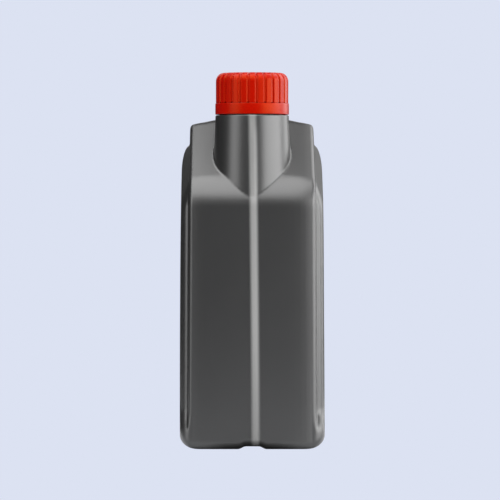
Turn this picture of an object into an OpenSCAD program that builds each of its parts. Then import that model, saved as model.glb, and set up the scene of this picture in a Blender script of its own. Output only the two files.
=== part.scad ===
// Oil jug: a blow moulded plastic jug with a screw cap and a tamper band.
// Millimetres. X runs across the narrow width, the spout face looks to -Y, Z is up.
// The origin is at the centre of the base.

/* [Jug body] */
// Width over the raised side panels, at the base
jug_width = 115.6; // [108:0.2:124]
// Depth from the front face to the rear face
jug_depth = 200; // [190:1:216]
// Height where the front face and the shoulder slope would meet
shoulder_z = 208.5; // [202:0.5:214]
// Slope of the shoulder above level, in degrees
slope_angle = 39; // [36:0.5:42]
// Radius of the bend between front face and slope
bend_r = 35; // [20:1:40]
// Radius of the ridge at the top of the slope
ridge_r = 10; // [8:0.5:12]
// Drop of the ridge below the collar's top
ridge_below = 3; // [2:0.5:6]
// Swelling of the ridge towards the neck, per millimetre of width
crown_fall = 0.2; // [0:0.05:0.3]
// Half width of the ridge's swelling
crown_half = 38.5; // [34:0.5:44]
// Lean of the wall behind the ridge, in degrees
back_lean = 8; // [4:1:12]
// Height of the deck below the handle
deck_z = 192; // [184:1:196]
// Fall of the deck towards the rear, in degrees
deck_fall = 3; // [1:0.5:5]
// Radius between the deck and the wall behind the ridge
deck_r = 18; // [12:1:22]
// Radius between the deck and the rear face
rear_r = 30; // [24:1:34]
// Thickness of the moulded wall
wall = 1.5; // [1.2:0.1:2]

/* [Faces and panels] */
// How far each side panel stands out from the body
panel_out = 6.4; // [4.5:0.1:8]
// Margin between the body outline and the foot of the panel bevel
panel_margin = 12; // [10:0.5:15]
// Run of the rounded panel bevel, seen from the side
bevel_run = 11; // [7:0.5:14]
// Radius of each side panel's top corner
panel_ridge = 7; // [4:0.5:9]
// Bow of the panel face
panel_bow = 0.5; // [0.2:0.1:1]
// Rounding of the long edges of front and rear face
edge_r = 3.4; // [2:0.2:4.5]
// Setback of the rounded edge behind its face
edge_drop = 4; // [2.5:0.5:5]
// Draft of the narrow faces from the parting line to their edge
face_draft = 2.6; // [1.5:0.1:3.4]
// Draft of the side panels, in degrees
side_draft = 0.3; // [0.1:0.1:0.6]
// Extra taper of the sides at the ridge
ridge_pinch = 0.7; // [0.3:0.1:2]
// Height at which the extra taper begins
pinch_z = 180; // [160:5:190]
// How far the clear level strip stands out from the front
strip_h = 0.6; // [0.3:0.1:1]
// Half width of the level strip
strip_half = 4.4; // [3:0.2:5.4]
// Sideways wander of the level strip from the collar to the base
strip_drift = 2.5; // [0:0.1:3]

/* [Base] */
// Corner radius of the base band, seen from above
corner_r = 11; // [8:0.5:13]
// Height of the rounding below the side panels
base_r = 11; // [8:0.5:11.5]
// Width of the rounding below the side panels
base_run = 14.5; // [10:0.5:18]
// Rounding below front and rear face
toe_r = 6; // [4:0.5:8]
// Height of the base band, where the corner flutes end
band_z = 15.5; // [15:0.5:20]
// Length of the ramp at the end of each flute
flute_ramp = 8; // [5:0.5:9]
// Height of the arch along the middle of the base
arch_h = 2.2; // [1.5:0.1:3]
// Half width of the arch at its top
arch_top = 5.5; // [5:0.5:8]
// Half width of the arch at its foot
arch_foot = 11; // [9:0.5:14]

/* [Handle] */
// Half thickness of the grip, seen from the side
grip_r = 14; // [12:0.5:15]
// Width added to the grip between its two round edges
grip_flat = 8; // [4:1:14]
// Radius of the grip's bend, along its middle
grip_bend = 34; // [28:1:38]
// Gap between the top of the grip and the ridge level
grip_drop = 1.5; // [1:0.5:4]
// Setback of the grip from the rear face
grip_setback = 2; // [1.5:0.5:5]

/* [Neck] */
// Height of the collar's top
collar_z = 265.5; // [262:0.5:270]
// Radius of the collar at its top
collar_r = 29.3; // [28.5:0.1:31]
// Widening of the neck per millimetre downwards
neck_taper = 0.0375; // [0.02:0.0025:0.05]
// Setback of the neck's front line behind the front face
neck_setback = 1.5; // [1:0.1:3]
// Chamfer on the collar's edge
collar_chamfer = 1.2; // [0.6:0.1:1.6]
// Radius of the pouring finish, at the root of the thread
finish_r = 25; // [24:0.1:25.4]
// Radius of the bore
bore_r = 22; // [19:0.5:22.5]
// How far the locking bead stands out from the finish
lock_out = 1.7; // [1.3:0.1:1.8]
// Setback of the mouth's chamfered edge
mouth_in = 1.6; // [1.2:0.1:2]
// Height of the mouth's chamfered edge
mouth_drop = 3; // [2.5:0.1:4]

/* [Cap and band] */
// Radius over the cap's ribs
cap_r = 29; // [28.8:0.1:30]
// Height of the cap
cap_h = 24.35; // [22:0.05:28]
// Thickness of the cap's top
cap_top = 2.2; // [1.6:0.1:3]
// How far the cap's bore narrows below its top
cap_cone_in = 2.7; // [2.4:0.1:3]
// Height over which the cap's bore narrows
cap_cone_h = 5.5; // [5:0.1:6.5]
// Wall of the cap behind the grooves
cap_wall = 1.2; // [1:0.1:1.3]
// Number of ribs around the cap
rib_count = 26; // [18:1:32]
// Depth of the grooves between the ribs
groove_depth = 0.9; // [0.5:0.1:1]
// Width of a groove, as a part of the pitch
groove_part = 0.2; // [0.12:0.02:0.4]
// Radial width of the rounded shoulder of the cap
round_w = 7; // [5:0.5:9]
// Height of the rounded shoulder of the cap
round_h = 9; // [6:0.5:11]
// Height of the tamper band
tamper_h = 9.1; // [7.5:0.1:10]
// Gap between band and collar
tamper_lift = 0.7; // [0.6:0.1:1.5]
// Slit between band and cap
tamper_slit = 0.35; // [0.3:0.05:0.5]
// Wall of the band
tamper_wall = 1.7; // [1.4:0.1:1.8]
// Radial clearance between parts that turn on each other
turn_gap = 0.4; // [0.3:0.05:0.5]
// Thickness of the sealing wad
liner_t = 1.2; // [0.8:0.1:1.6]

/* [Hidden] */
$fn = 96;
half_w = jug_width / 2;
front_y = -jug_depth / 2;
core_half = half_w - panel_out;
edge_x = core_half - edge_r;
crest_z = collar_z - ridge_below;
valley_step = 0.1;
neck_bury = 20;
foot_z = shoulder_z - neck_bury;
neck_foot_r = collar_r + neck_taper * (collar_z - foot_z);
neck_front_r = collar_r + neck_taper * (collar_z - shoulder_z);
neck_y = front_y + neck_setback + neck_front_r;
ridge_cz = crest_z - ridge_r;
ridge_cy = front_y + (ridge_r + (ridge_cz - shoulder_z) * cos(slope_angle)) / sin(slope_angle);
back_y = ridge_cy + ridge_r * cos(back_lean);
back_z = ridge_cz + ridge_r * sin(back_lean);
grip_z = crest_z - grip_drop - grip_r;
grip_bury = 3;
grip_y0 = ridge_cy + grip_bury;
grip_y1 = jug_depth / 2 - grip_setback - grip_r;
tamper_z = collar_z + tamper_lift;
cap_z = tamper_z + tamper_h + tamper_slit;
cap_end = cap_z + cap_h;
plate_z = cap_end - cap_top;
mouth_z = plate_z - liner_t;
cap_bore = cap_r - groove_depth - cap_wall;
band_bore = cap_r - tamper_wall;
lip_r = finish_r + turn_gap;
lip_h = 2;
lip_slope = 0.6;
lock_z = tamper_z + lip_h + turn_gap;
lock_h = 3;
lock_foot = 0.4;
lock_land = 0.8;
panel_eye = [front_y + 45, shoulder_z - 80];
panel_steps = [0.7, 0.35];
ramp_steps = [0, 0.2, 0.5, 0.8, 1];
ramp_low = 0.4;
toe_part = 0.8;
least_bend = 8;
least_ridge = 2.5;
face_curve = 3;
strip_reach = 16;
strip_curve = 1.5;
strip_bury = 12;
bore_lead = 7;
edge_break = 0.4;
round_power = 1.15;
groove_drop = 0.3;
spoke = 3;
over = 1;

function unit(v) = v / norm(v);

// Point where the line through p along angle a meets the line through q along angle b
function meet(p, a, q, b) =
    let (k = ((q.x - p.x) * sin(b) - (q.y - p.y) * cos(b)) / sin(b - a))
    [p.x + k * cos(a), p.y + k * sin(a)];

// Arc of n steps that rounds corner q between p and r
function round_corner(p, q, r, rad, n) =
    let (
        u = unit(p - q),
        v = unit(r - q),
        half = acos(u * v) / 2,
        c = q + unit(u + v) * rad / sin(half),
        s = q + u * rad / tan(half) - c,
        e = q + v * rad / tan(half) - c,
        a0 = atan2(s.y, s.x),
        turn = atan2(s.x * e.y - s.y * e.x, s * e)
    )
    [for (i = [0:n]) c + rad * [cos(a0 + turn * i / n), sin(a0 + turn * i / n)]];

// Ease from 0 to 1 with flat ends
function ease(t) = let (s = max(0, min(1, t))) (3 - 2 * s) * s * s;

// Radius of the ridge at inset d, wider again on the side panels
function ridge_round(d) = d < panel_margin ? max(ridge_r - d, least_ridge) : panel_ridge;

// Outline seen from the side, as [y, z] points:
// flute inset d, band inset p, base lifted by b, ridge swollen by w
function side_outline(d, p, b, w) =
    let (
        lo = [front_y + p, b],
        lo2 = [-front_y - p, b],
        ramp = [for (t = ramp_steps) [p + (d - p) * ease(t), band_z + flute_ramp * (t - ramp_low)]],
        rear1 = [-front_y - p, ramp[0].y],
        rear2 = [-front_y - d, ramp[4].y],
        deck = [0, deck_z - d],
        slope = [front_y + d * sin(slope_angle), shoulder_z - d * cos(slope_angle)],
        back = [back_y + w - d * cos(back_lean), back_z - d * sin(back_lean)],
        k_rear = meet(deck, -deck_fall, rear2, 90),
        k_deck = meet(back, 90 + back_lean, deck, -deck_fall),
        k_ridge = meet(slope, slope_angle, back, 90 + back_lean),
        k_bend = meet([front_y + d, 0], 90, slope, slope_angle),
        front2 = [front_y + d, ramp[4].y],
        front1 = [front_y + p, ramp[0].y],
        toe = min(toe_r, (ramp[0].y - b) * toe_part)
    )
    concat(
        round_corner(front1, lo, lo2, toe, 4),
        round_corner(lo, lo2, rear1, toe, 4),
        [for (r = ramp) [-front_y - r.x, r.y]],
        round_corner(rear2, k_rear, k_deck, max(rear_r - d, least_bend), 8),
        round_corner(k_rear, k_deck, k_ridge, deck_r + d, 6),
        round_corner(k_deck, k_ridge, k_bend, ridge_round(d), 8),
        round_corner(k_ridge, k_bend, front2, max(bend_r - d, least_bend), 8),
        [for (i = [4:-1:0]) [front_y + ramp[i].x, ramp[i].y]]
    );

// Setback of the narrow faces at distance x from the parting line
function draft_at(x) = face_draft * pow(min(x, edge_x) / edge_x, face_curve);

// Swelling of the ridge at distance x, even behind the neck
function crown_at(x) = crown_fall * max(0, crown_half - max(x, collar_r));

// Sideways place of the level strip at height z
function strip_middle(z) = strip_drift * (1 - pow(max(z, 0) / collar_z, strip_curve));

// How far the level strip lifts the front wall at [x, y, z]
function strip_lift(x, y, z) =
    y < front_y + strip_reach ? strip_h * ease(1 - abs(x - strip_middle(z)) / strip_half) : 0;

// Arch along the middle of the base
function arch_at(x) = arch_h * max(0, min(1, (arch_foot - x) / (arch_foot - arch_top)));

// Quarter round that begins at x0 and ends at x1 with depth r
function quarter(x, x0, x1, r) = x <= x0 ? 0 : r * (1 - sqrt(max(0, 1 - pow((x - x0) / (x1 - x0), 2))));

// Section [x, flute inset, band inset, base lift, ridge swelling]
function section(x, d) = [
    x,
    d,
    min(d, draft_at(x) + quarter(x, edge_x, half_w, corner_r)),
    arch_at(x) + quarter(x, half_w - base_run, half_w, base_r),
    crown_at(x)
];

// Sections from the parting line to the panel face
function sections() = concat(
    [for (x = [0, 0.25, 0.5, 0.75, 1] * arch_top) section(x, draft_at(x))],
    [for (x = [(arch_top + arch_foot) / 2, arch_foot, collar_r, crown_half, (crown_half + edge_x) / 2])
        section(x, draft_at(x))],
    [for (t = [0:30:90]) section(edge_x + edge_r * sin(t), face_draft + edge_drop * (1 - cos(t)))],
    [for (t = [0, 20, 40, 60, 90]) section(
        core_half + valley_step + (panel_out - valley_step) * sin(t),
        panel_margin + bevel_run * (1 - cos(t))
    )]
);

// Sections of the cavity: every face moved in by the wall
function cavity_sections() = [
    for (s = sections()) if (s[0] == 0 || s[0] >= arch_top)
        [s[0] * (1 - wall / half_w), s[1] + wall, s[2] + wall, s[3] + wall, s[4]]
];

// Taper of the sides with height
function side_scale(z) =
    1 - (z * tan(side_draft) + ridge_pinch * pow(max(0, z - pinch_z) / (crest_z - pinch_z), 2)) / half_w;

// Ring of points for one section, with the level strip raised by strip times its height
function ring(s, side, strip) =
    [for (q = side_outline(s[1], s[2], s[3], s[4]))
        let (x = side * s[0] * side_scale(q.y))
        [x, q.x - strip * strip_lift(x, q.x, q.y), q.y]];

// Ring drawn in towards the panel's eye, for the bowed panel face
function panel_ring(s, side, part) =
    [for (q = side_outline(s[1], s[2], s[3], s[4]))
        let (w = panel_eye + (q - panel_eye) * part)
        [side * (s[0] * side_scale(w.y) + panel_bow * (1 - part * part)), w.x, w.y]];

// Closed skin lofted through the sections on both sides of the parting plane
module skin(list, strip) {
    last = len(list) - 1;
    rings = concat(
        [for (i = [len(panel_steps) - 1:-1:0]) panel_ring(list[last], -1, panel_steps[i])],
        [for (i = [last:-1:1]) ring(list[i], -1, strip)],
        [for (i = [0:last]) ring(list[i], 1, strip)],
        [for (part = panel_steps) panel_ring(list[last], 1, part)]
    );
    m = len(rings[0]);
    count = len(rings);
    eye_x = list[last][0] * side_scale(panel_eye.y) + panel_bow;
    points = concat(
        [for (r = rings) each r],
        [[-eye_x, panel_eye.x, panel_eye.y], [eye_x, panel_eye.x, panel_eye.y]]
    );
    sides = [for (j = [0:count - 2]) for (k = [0:m - 1])
        let (a = j * m + k, b = j * m + (k + 1) % m)
        each [[a, a + m, b + m], [a, b + m, b]]];
    ends = [for (k = [0:m - 1])
        let (n = (k + 1) % m, top = (count - 1) * m)
        each [[k, n, count * m], [top + n, top + k, count * m + 1]]];
    polyhedron(points, concat(sides, ends), convexity = 6);
}

// Neck cone and pouring finish
module neck_form() {
    translate([0, neck_y, 0])
        rotate_extrude()
            polygon([
                [0, foot_z],
                [neck_foot_r, foot_z],
                [collar_r, collar_z - collar_chamfer],
                [collar_r - collar_chamfer, collar_z],
                [finish_r, collar_z],
                [finish_r, lock_z],
                [finish_r + lock_out, lock_z + lock_foot],
                [finish_r + lock_out, lock_z + lock_foot + lock_land],
                [finish_r, lock_z + lock_h],
                [finish_r, mouth_z - mouth_drop],
                [finish_r - mouth_in, mouth_z],
                [0, mouth_z]
            ]);
}

// Inside of the neck, down to the pouring bore
module neck_cavity() {
    translate([0, neck_y, 0])
        rotate_extrude()
            polygon([
                [0, foot_z - over],
                [neck_foot_r - wall, foot_z - over],
                [collar_r - wall, collar_z - bore_lead],
                [bore_r, collar_z - wall],
                [bore_r, mouth_z + over],
                [0, mouth_z + over]
            ]);
}

// Level strip on the front of the neck, leaning with the neck's taper and the strip's wander
module neck_strip() {
    top = collar_z - collar_chamfer;
    length = top - shoulder_z + strip_bury;
    rise = strip_h + collar_r - sqrt(collar_r * collar_r - strip_half * strip_half);
    radius = (strip_half * strip_half + rise * rise) / (2 * rise);
    wander = strip_middle(top - length) - strip_middle(top);
    translate([strip_middle(top), neck_y - collar_r - strip_h + radius, top])
        rotate([180 - atan(neck_taper), -atan(wander / length), 0])
            cylinder(r = radius, h = length);
}

// Cross section of the grip, moved in by off
module grip_section(off) {
    for (side = [-1, 1])
        translate([side * grip_flat / 2, 0])
            circle(r = grip_r - off);
    square([grip_flat, 2 * (grip_r - off)], center = true);
}

// Tube along the grip: back from the ridge, round the bend and down into the deck
module grip(off) {
    bend_y = grip_y1 - grip_bend;
    translate([0, bend_y, grip_z])
        rotate([90, 0, 0])
            linear_extrude(height = bend_y - grip_y0)
                grip_section(off);
    translate([0, bend_y, grip_z - grip_bend])
        rotate([90, 0, 90])
            rotate_extrude(angle = 90)
                translate([grip_bend, 0])
                    rotate(90)
                        grip_section(off);
    translate([0, grip_y1, deck_z - rear_r])
        linear_extrude(height = grip_z - grip_bend - deck_z + rear_r)
            grip_section(off);
}

module jug_body() {
    color([0.20, 0.20, 0.21])
        difference() {
            union() {
                skin(sections(), 1);
                neck_form();
                neck_strip();
                grip(0);
            }
            skin(cavity_sections(), 0);
            neck_cavity();
            grip(wall);
        }
}

module tamper_band() {
    color([0.80, 0.11, 0.05])
        translate([0, neck_y, tamper_z])
            rotate_extrude()
                polygon([
                    [lip_r, 0],
                    [cap_r - edge_break, 0],
                    [cap_r, edge_break],
                    [cap_r, tamper_h - edge_break],
                    [cap_r - edge_break, tamper_h],
                    [band_bore, tamper_h],
                    [band_bore, lip_h],
                    [lip_r, lip_h - lip_slope]
                ]);
}

// Outer profile of the cap, moved in by off
function cap_profile(off) = concat(
    [[0, 0], [cap_r - off, 0]],
    [for (t = [0:10:90]) [
        cap_r - round_w + (round_w - off) * pow(cos(t), round_power),
        cap_h - round_h + (round_h - off * groove_drop) * pow(sin(t), round_power)
    ]],
    [[0, cap_h - off * groove_drop]]
);

// Ribs of the cap: its full profile, cut to a ring of wedges
module cap_ribs() {
    pitch = 360 / rib_count;
    land = pitch * (1 - groove_part) / 2;
    far = cap_r + spoke;
    near = cap_r - round_w - spoke;
    intersection() {
        rotate_extrude()
            polygon(cap_profile(0));
        linear_extrude(height = cap_h)
            polygon([for (i = [0:rib_count - 1]) each [
                near * [sin(i * pitch - land), -cos(i * pitch - land)],
                far * [sin(i * pitch - land), -cos(i * pitch - land)],
                far * [sin(i * pitch + land), -cos(i * pitch + land)],
                near * [sin(i * pitch + land), -cos(i * pitch + land)]
            ]]);
    }
}

module screw_cap() {
    color([0.84, 0.12, 0.05])
        translate([0, neck_y, cap_z])
            difference() {
                union() {
                    rotate_extrude()
                        polygon(cap_profile(groove_depth));
                    cap_ribs();
                }
                rotate_extrude()
                    polygon([
                        [0, -over],
                        [cap_bore, -over],
                        [cap_bore, cap_h - cap_top - cap_cone_h],
                        [cap_bore - cap_cone_in, cap_h - cap_top],
                        [0, cap_h - cap_top]
                    ]);
            }
}

module cap_liner() {
    color([0.93, 0.92, 0.88])
        translate([0, neck_y, mouth_z])
            cylinder(r = cap_bore - cap_cone_in - turn_gap, h = liner_t);
}

jug_body();
tamper_band();
screw_cap();
cap_liner();
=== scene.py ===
"""Oil jug: modelled pieces, finishes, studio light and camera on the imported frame."""

import logging
import math
from dataclasses import dataclass
from enum import Enum
from typing import Callable

import bmesh
import bpy
from mathutils import Matrix, Vector


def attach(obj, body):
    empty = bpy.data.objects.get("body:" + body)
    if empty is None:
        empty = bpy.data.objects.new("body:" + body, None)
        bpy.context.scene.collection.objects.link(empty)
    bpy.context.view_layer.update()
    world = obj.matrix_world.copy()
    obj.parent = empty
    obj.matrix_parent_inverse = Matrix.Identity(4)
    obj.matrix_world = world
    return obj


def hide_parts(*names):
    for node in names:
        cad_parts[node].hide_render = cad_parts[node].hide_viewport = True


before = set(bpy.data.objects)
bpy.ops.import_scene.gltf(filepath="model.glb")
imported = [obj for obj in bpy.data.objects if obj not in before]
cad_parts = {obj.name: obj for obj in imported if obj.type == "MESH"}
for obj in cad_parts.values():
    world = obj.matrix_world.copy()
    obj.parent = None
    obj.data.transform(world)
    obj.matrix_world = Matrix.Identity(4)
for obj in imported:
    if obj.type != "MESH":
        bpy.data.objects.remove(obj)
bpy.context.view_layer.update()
MM = 0.001
log = logging.getLogger("oil_jug")

Point = tuple[float, float]
Triple = tuple[float, float, float]
Verts = list[bmesh.types.BMVert]

# Millimetres within which vertices become one
MERGE = 1e-4
# Millimetres of slack where places are compared
SLACK = 1e-3
# Degrees that no edge passes, so that every edge stays smooth
ALL_SMOOTH = 180.0
# Sockets of a Mix node that mixes colours
MIX_PART = 0
MIX_LOW = 6
MIX_HIGH = 7
MIX_RESULT = 2


class Body(Enum):
    """Names of the bodies that the modelled pieces ride on."""

    JUG = "jug"
    CAP = "cap"


class Slot(Enum):
    """Names of the record's material slots that the modelled pieces fill."""

    BODY = "body_plastic"
    CAP = "cap_plastic"


class Softbox(Enum):
    """Places of the studio lights round the jug."""

    RIGHT = "softbox_right"
    LEFT = "softbox_left"
    TOP = "softbox_top"
    RIM = "softbox_rim"
    BACK = "softbox_back"


def smoothstep(t: float) -> float:
    """Ease from 0 to 1 with flat ends."""
    t = max(0.0, min(1.0, t))
    return t * t * (3.0 - 2.0 * t)


def quarter(x: float, start: float, end: float, depth: float) -> float:
    """Quarter round that sinks away from a line.

    Args:
        x: Place along the line.
        start: Place where the rounding begins.
        end: Place where it is deepest.
        depth: Depth at the end.

    Returns:
        The depth at x.
    """
    if x <= start:
        return 0.0
    part = min(1.0, (x - start) / (end - start))
    return depth * (1.0 - math.sqrt(1.0 - part * part))


def meet(p: Point, a: float, q: Point, b: float) -> Point:
    """Find where two lines cross.

    Args:
        p: Point on the first line.
        a: Angle of the first line, in degrees.
        q: Point on the second line.
        b: Angle of the second line, in degrees.

    Returns:
        The point that both lines share.
    """
    a = math.radians(a)
    b = math.radians(b)
    k = ((q[0] - p[0]) * math.sin(b) - (q[1] - p[1]) * math.cos(b)) / math.sin(b - a)
    return p[0] + k * math.cos(a), p[1] + k * math.sin(a)


def round_corner(p: Point, q: Point, r: Point, radius: float, steps: int) -> list[Point]:
    """Round a corner with an arc.

    Args:
        p: Point before the corner.
        q: The corner.
        r: Point after the corner.
        radius: Radius of the arc.
        steps: Number of steps along the arc.

    Returns:
        The points of the arc, in order.
    """
    corner = Vector(q)
    u = (Vector(p) - corner).normalized()
    v = (Vector(r) - corner).normalized()
    half = u.angle(v) / 2.0
    centre = corner + (u + v).normalized() * radius / math.sin(half)
    start = corner + u * radius / math.tan(half) - centre
    end = corner + v * radius / math.tan(half) - centre
    first = math.atan2(start.y, start.x)
    turn = math.atan2(start.x * end.y - start.y * end.x, start.dot(end))
    return [
        (
            centre.x + radius * math.cos(first + turn * i / steps),
            centre.y + radius * math.sin(first + turn * i / steps),
        )
        for i in range(steps + 1)
    ]


def angles(start: int, end: int, step: int) -> list[float]:
    """Angles in radians, from a start to an end in whole degrees."""
    return [math.radians(degrees) for degrees in range(start, end + 1, step)]


def arc(centre: Point, size: Point, turns: list[float]) -> list[Point]:
    """Points on an upright ellipse.

    Args:
        centre: Centre of the ellipse.
        size: Its half axes along radius and height.
        turns: Angles of the points, in radians from the radius up.

    Returns:
        The points as radius and height, in order.
    """
    return [(centre[0] + size[0] * math.cos(t), centre[1] + size[1] * math.sin(t)) for t in turns]


class Sock:
    """Wraps a value socket, so that shader maths is written as Python expressions."""

    def __init__(self, canvas: "Canvas", socket: bpy.types.NodeSocket) -> None:
        """Keep the canvas and the socket."""
        self.canvas = canvas
        self.socket = socket

    def _math(self, operation: str, *values: "Sock | float") -> "Sock":
        """Add one Math node and return its result."""
        return self.canvas.node("ShaderNodeMath", {"operation": operation}, dict(enumerate(values)))

    def __add__(self, other: "Sock | float") -> "Sock":
        """Add."""
        return self._math("ADD", self, other)

    def __radd__(self, other: float) -> "Sock":
        """Add to a number."""
        return self._math("ADD", other, self)

    def __sub__(self, other: "Sock | float") -> "Sock":
        """Subtract."""
        return self._math("SUBTRACT", self, other)

    def __rsub__(self, other: float) -> "Sock":
        """Subtract from a number."""
        return self._math("SUBTRACT", other, self)

    def __mul__(self, other: "Sock | float") -> "Sock":
        """Multiply."""
        return self._math("MULTIPLY", self, other)

    def __rmul__(self, other: float) -> "Sock":
        """Multiply a number."""
        return self._math("MULTIPLY", other, self)

    def __pow__(self, other: "Sock | float") -> "Sock":
        """Raise to a power."""
        return self._math("POWER", self, other)

    def size(self) -> "Sock":
        """Drop the sign."""
        return self._math("ABSOLUTE", self)

    def clamp(self) -> "Sock":
        """Keep the value between 0 and 1."""
        return self._math("MINIMUM", self._math("MAXIMUM", self, 0.0), 1.0)

    def above(self, edge: float, width: float) -> "Sock":
        """Ease from 0 to 1 as the value passes an edge."""
        span = {"Value": self, "From Min": edge - width, "From Max": edge + width}
        return self.canvas.node("ShaderNodeMapRange", {"interpolation_type": "SMOOTHSTEP"}, span)


class Canvas:
    """Node tree of one material or of the world."""

    def __init__(self, owner: bpy.types.Material | bpy.types.World) -> None:
        """Start with an empty tree.

        Args:
            owner: The material or the world that gets the tree.
        """
        owner.use_nodes = True
        self.owner = owner
        self.tree = owner.node_tree
        self.tree.nodes.clear()

    def node(
        self,
        kind: str,
        settings: dict[str, object] | None = None,
        inputs: dict[str | int, object] | None = None,
        out: str | int = 0,
    ) -> Sock:
        """Add one node.

        Args:
            kind: Type of the node.
            settings: Properties of the node, set first.
            inputs: Values or links of its sockets, by name or number.
            out: Name or number of the output to return.

        Returns:
            The wrapped output.
        """
        made = self.tree.nodes.new(kind)
        for key, value in (settings or {}).items():
            setattr(made, key, value)
        for key, value in (inputs or {}).items():
            if isinstance(value, Sock):
                self.tree.links.new(value.socket, made.inputs[key])
            else:
                made.inputs[key].default_value = value
        return Sock(self, made.outputs[out])

    def place(self, scale: Triple = (1.0, 1.0, 1.0)) -> Sock:
        """Object coordinates, stretched by a scale."""
        point = self.node("ShaderNodeTexCoord", out="Object")
        return self.node("ShaderNodeMapping", {}, {"Vector": point, "Scale": scale})

    def noise(self, scale: float, detail: float = 2.0, upward: float = 1.0) -> Sock:
        """Noise over object coordinates, drawn out along Z where upward is below 1."""
        point = self.place((1.0, 1.0, upward))
        return self.node("ShaderNodeTexNoise", {}, {"Vector": point, "Scale": scale, "Detail": detail})

    def axes(self) -> tuple[Sock, Sock, Sock]:
        """Split the object coordinates.

        Returns:
            X, Y and Z, in metres.
        """
        point = self.node("ShaderNodeTexCoord", out="Object")
        split = self.node("ShaderNodeSeparateXYZ", {}, {"Vector": point}).socket.node
        x, y, z = (Sock(self, output) for output in split.outputs)
        return x, y, z

    def mixed(self, part: Sock, low: Sock | tuple, high: Sock | tuple) -> Sock:
        """Mix two colours, each a link or a value with alpha, by a part."""
        inputs = {MIX_PART: part, MIX_LOW: low, MIX_HIGH: high}
        return self.node("ShaderNodeMix", {"data_type": "RGBA"}, inputs, MIX_RESULT)

    def blend(self, part: Sock, low: Triple, high: Triple) -> Sock:
        """Mix two plain colours by a part."""
        return self.mixed(part, (*low, 1.0), (*high, 1.0))

    def bump(self, height: Sock, strength: float, distance: float) -> Sock:
        """Bump node for a height, with its distance in millimetres."""
        inputs = {"Height": height, "Strength": strength, "Distance": distance * MM}
        return self.node("ShaderNodeBump", {}, inputs)

    def seen_as(self, plain: Sock, shown: Sock) -> Sock:
        """Mix two shaders: the camera sees the second, and light meets the first."""
        ray = self.node("ShaderNodeLightPath", out="Is Camera Ray")
        return self.node("ShaderNodeMixShader", {}, {0: ray, 1: plain, 2: shown})

    def close(self, shader: Sock, kind: str = "ShaderNodeOutputMaterial") -> None:
        """Link a shader to the tree's output."""
        made = self.tree.nodes.new(kind)
        self.tree.links.new(shader.socket, made.inputs["Surface"])

    def finish(self, inputs: dict[str | int, object]) -> bpy.types.Material:
        """Close a material with its plastic or foam shader.

        Args:
            inputs: Values or links for the shader's sockets.

        Returns:
            The material.
        """
        self.close(self.node("ShaderNodeBsdfPrincipled", {}, inputs))
        return self.owner


@dataclass(frozen=True)
class LevelStrip:
    """Path of the clear level strip down the front, in millimetres: it wanders sideways as it falls."""

    start_z: float
    drift: float = 2.5
    curve: float = 1.5
    core: float = 1.0
    edge: float = 4.4
    front_y: float = -60.0
    front_fade: float = 12.0

    def middle(self, z: float) -> float:
        """Sideways place of the strip's middle at a height."""
        return self.drift * (1.0 - (max(z, 0.0) / self.start_z) ** self.curve)

    def mask(self, c: Canvas) -> Sock:
        """Mask of the strip.

        Args:
            c: Canvas of the material.

        Returns:
            A value that is 1 on the strip and 0 away from it, on the front only.
        """
        x, y, z = c.axes()
        fall = (z * (1.0 / (self.start_z * MM))).clamp() ** self.curve
        across = (x - (1.0 - fall) * (self.drift * MM)).size()
        half = (self.core + self.edge) / 2.0 * MM
        soft = (self.edge - self.core) / 2.0 * MM
        front = 1.0 - y.above(self.front_y * MM, self.front_fade * MM)
        return (1.0 - across.above(half, soft)) * front


@dataclass(frozen=True)
class SatinPlastic:
    """Dark blow moulded plastic: soft gloss, faint flow marks, a fine mould grain and a clear level strip.

    Heights are in millimetres, and the scales of the patterns are per metre.
    """

    level: LevelStrip
    name: str = "satin_polyethylene"
    dark: Triple = (0.0052, 0.0052, 0.0053)
    light: Triple = (0.0080, 0.0080, 0.0081)
    # Strip tones: lighter from about 55 mm up, darker below that and again towards the neck
    clear: Triple = (0.112, 0.112, 0.110)
    darker_strip: Triple = (0.068, 0.068, 0.067)
    lighter_z: float = 55.0
    lighter_share: float = 0.8
    neck_z: float = 215.0
    neck_fade: float = 30.0
    neck_share: float = 0.35
    haze: float = 30.0
    haze_upward: float = 0.1
    haze_share: float = 0.3
    flow: float = 9.0
    flow_detail: float = 3.0
    flow_upward: float = 0.25
    patch: float = 55.0
    roughness: float = 0.36
    spread: float = 0.05
    specular: float = 0.5
    grain: float = 1500.0
    grain_strength: float = 0.06
    grain_h: float = 0.2

    def make(self) -> bpy.types.Material:
        """Build the material.

        Returns:
            The finished material.
        """
        c = Canvas(bpy.data.materials.new(self.name))
        flow = c.noise(self.flow, self.flow_detail, self.flow_upward)
        uneven = (flow + c.noise(self.patch) - 1.0) * (self.spread / 2.0)
        z = c.axes()[2]
        # The strip is darker towards the bottom and again towards the neck, with streaky noise over it
        low = z.above(self.lighter_z * MM, self.lighter_z * MM) * self.lighter_share
        high = z.above(self.neck_z * MM, self.neck_fade * MM) * self.neck_share
        haze = c.noise(self.haze, upward=self.haze_upward) * self.haze_share
        wall = c.blend(flow, self.dark, self.light)
        strip = c.blend((low - high + haze).clamp(), self.darker_strip, self.clear)
        return c.finish(
            {
                "Base Color": c.mixed(self.level.mask(c), wall, strip),
                "Roughness": self.roughness + uneven,
                "Specular IOR Level": self.specular,
                "Normal": c.bump(c.noise(self.grain), self.grain_strength, self.grain_h),
            }
        )


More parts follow.
